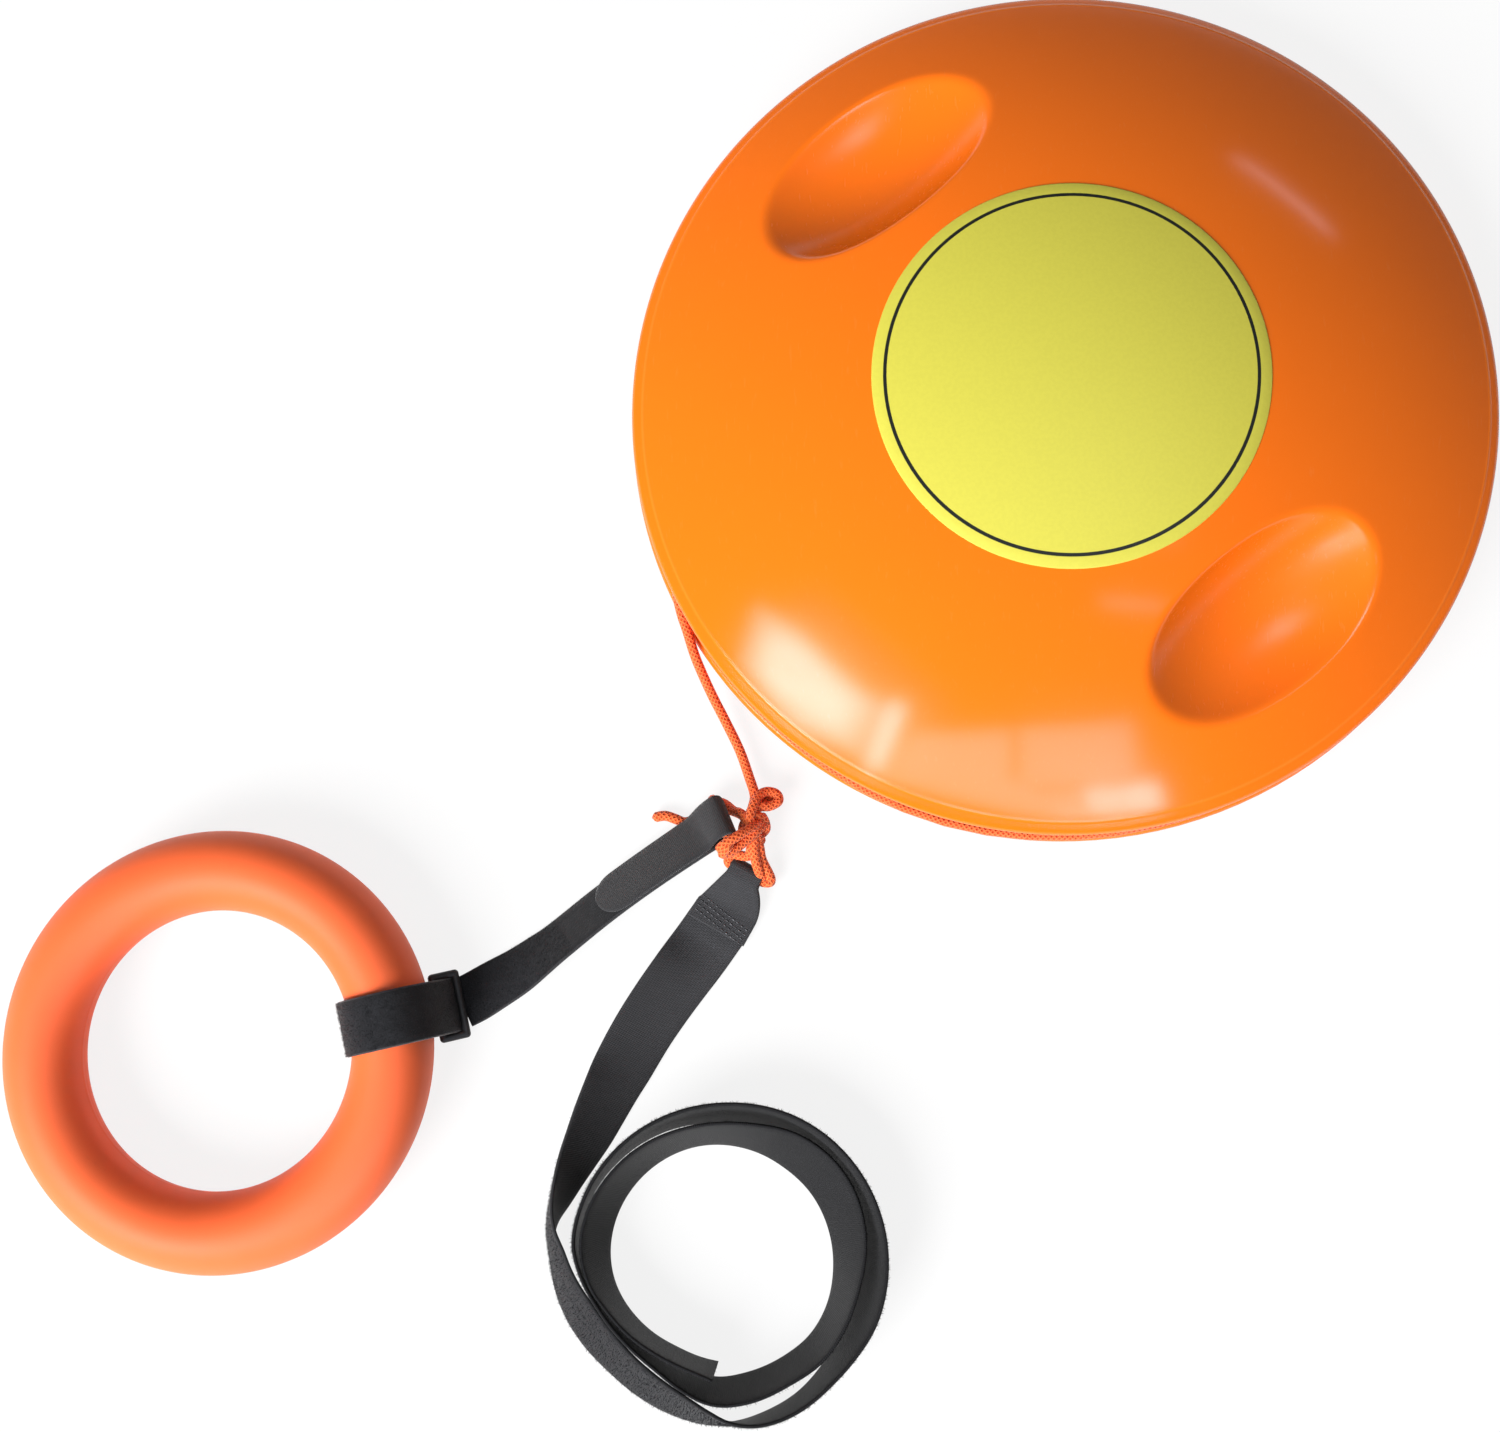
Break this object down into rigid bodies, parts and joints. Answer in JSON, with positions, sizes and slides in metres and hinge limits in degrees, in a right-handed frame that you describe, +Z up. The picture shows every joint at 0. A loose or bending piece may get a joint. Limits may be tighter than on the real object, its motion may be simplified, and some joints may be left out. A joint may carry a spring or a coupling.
{
  "type": "rescue throwing disc set",
  "caption": "Hollow orange throwing disc with a floating line wound in its rim, a hand ring on a cinch strap and a long coiled strap tied to the line.",
  "frame": {"origin": "on the disc's axis, in the plane of its foot", "axes": "+Z up along the disc's axis, out of the dome; the hand ring lies towards -X and the coiled strap towards -Y"},
  "size_m": [0.5764, 0.5524, 0.0784],
  "materials": {
    "shell_orange": "glossy moulded",
    "label_yellow": "printed film",
    "line_orange": "braided",
    "ring_orange": "satin moulded",
    "strap_black": "loop pile",
    "tab_charcoal": "woven",
    "buckle_black": "moulded",
    "screw_steel": "turned",
    "seal_black": "moulded"
  },
  "bodies": {
    "disc": {"top_shell": "shell_orange", "bottom_shell": "shell_orange", "seal_ring": "seal_black", "shell_screws": "screw_steel", "label": "label_yellow", "rope_winding": "line_orange", "rope_anchor_knot": "line_orange", "rope_lead": "line_orange", "rope_knot": "line_orange", "rope_ring_bight": "line_orange", "rope_strap_bight": "line_orange", "rope_tail": "line_orange"},
    "ring_strap": {"ring_strap": "strap_black", "ring_strap_tab": "tab_charcoal"},
    "ring_loop": {"ring_strap_loop": "strap_black", "buckle": "buckle_black"},
    "ring": {"hand_ring": "ring_orange"},
    "long_strap": {"long_strap": "strap_black"}
  },
  "joints": [
    {"name": "ring_strap_swing", "type": "hinge", "parent": "disc", "child": "ring_strap", "pos_m": [-0.13107, -0.15766, 0.01355], "axis": [-0.3462, 0.7639, -0.5446], "range_deg": [0, 60]},
    {"name": "ring_lift", "type": "hinge", "parent": "ring_strap", "child": "ring_loop", "pos_m": [-0.234, -0.2285, 0.0033], "axis": [-0.225, 0.9744, 0], "range_deg": [0, 90]},
    {"name": "ring_turn", "type": "hinge", "parent": "ring_loop", "child": "ring", "pos_m": [-0.32541, -0.24594, 0.0169], "axis": [-0.02, -0.0035, 0.9998], "continuous": true},
    {"name": "long_strap_swing", "type": "hinge", "parent": "disc", "child": "long_strap", "pos_m": [-0.1215, -0.17799, 0.0037], "axis": [-0.8706, 0.4921, 0], "range_deg": [0, 70]}
  ]
}
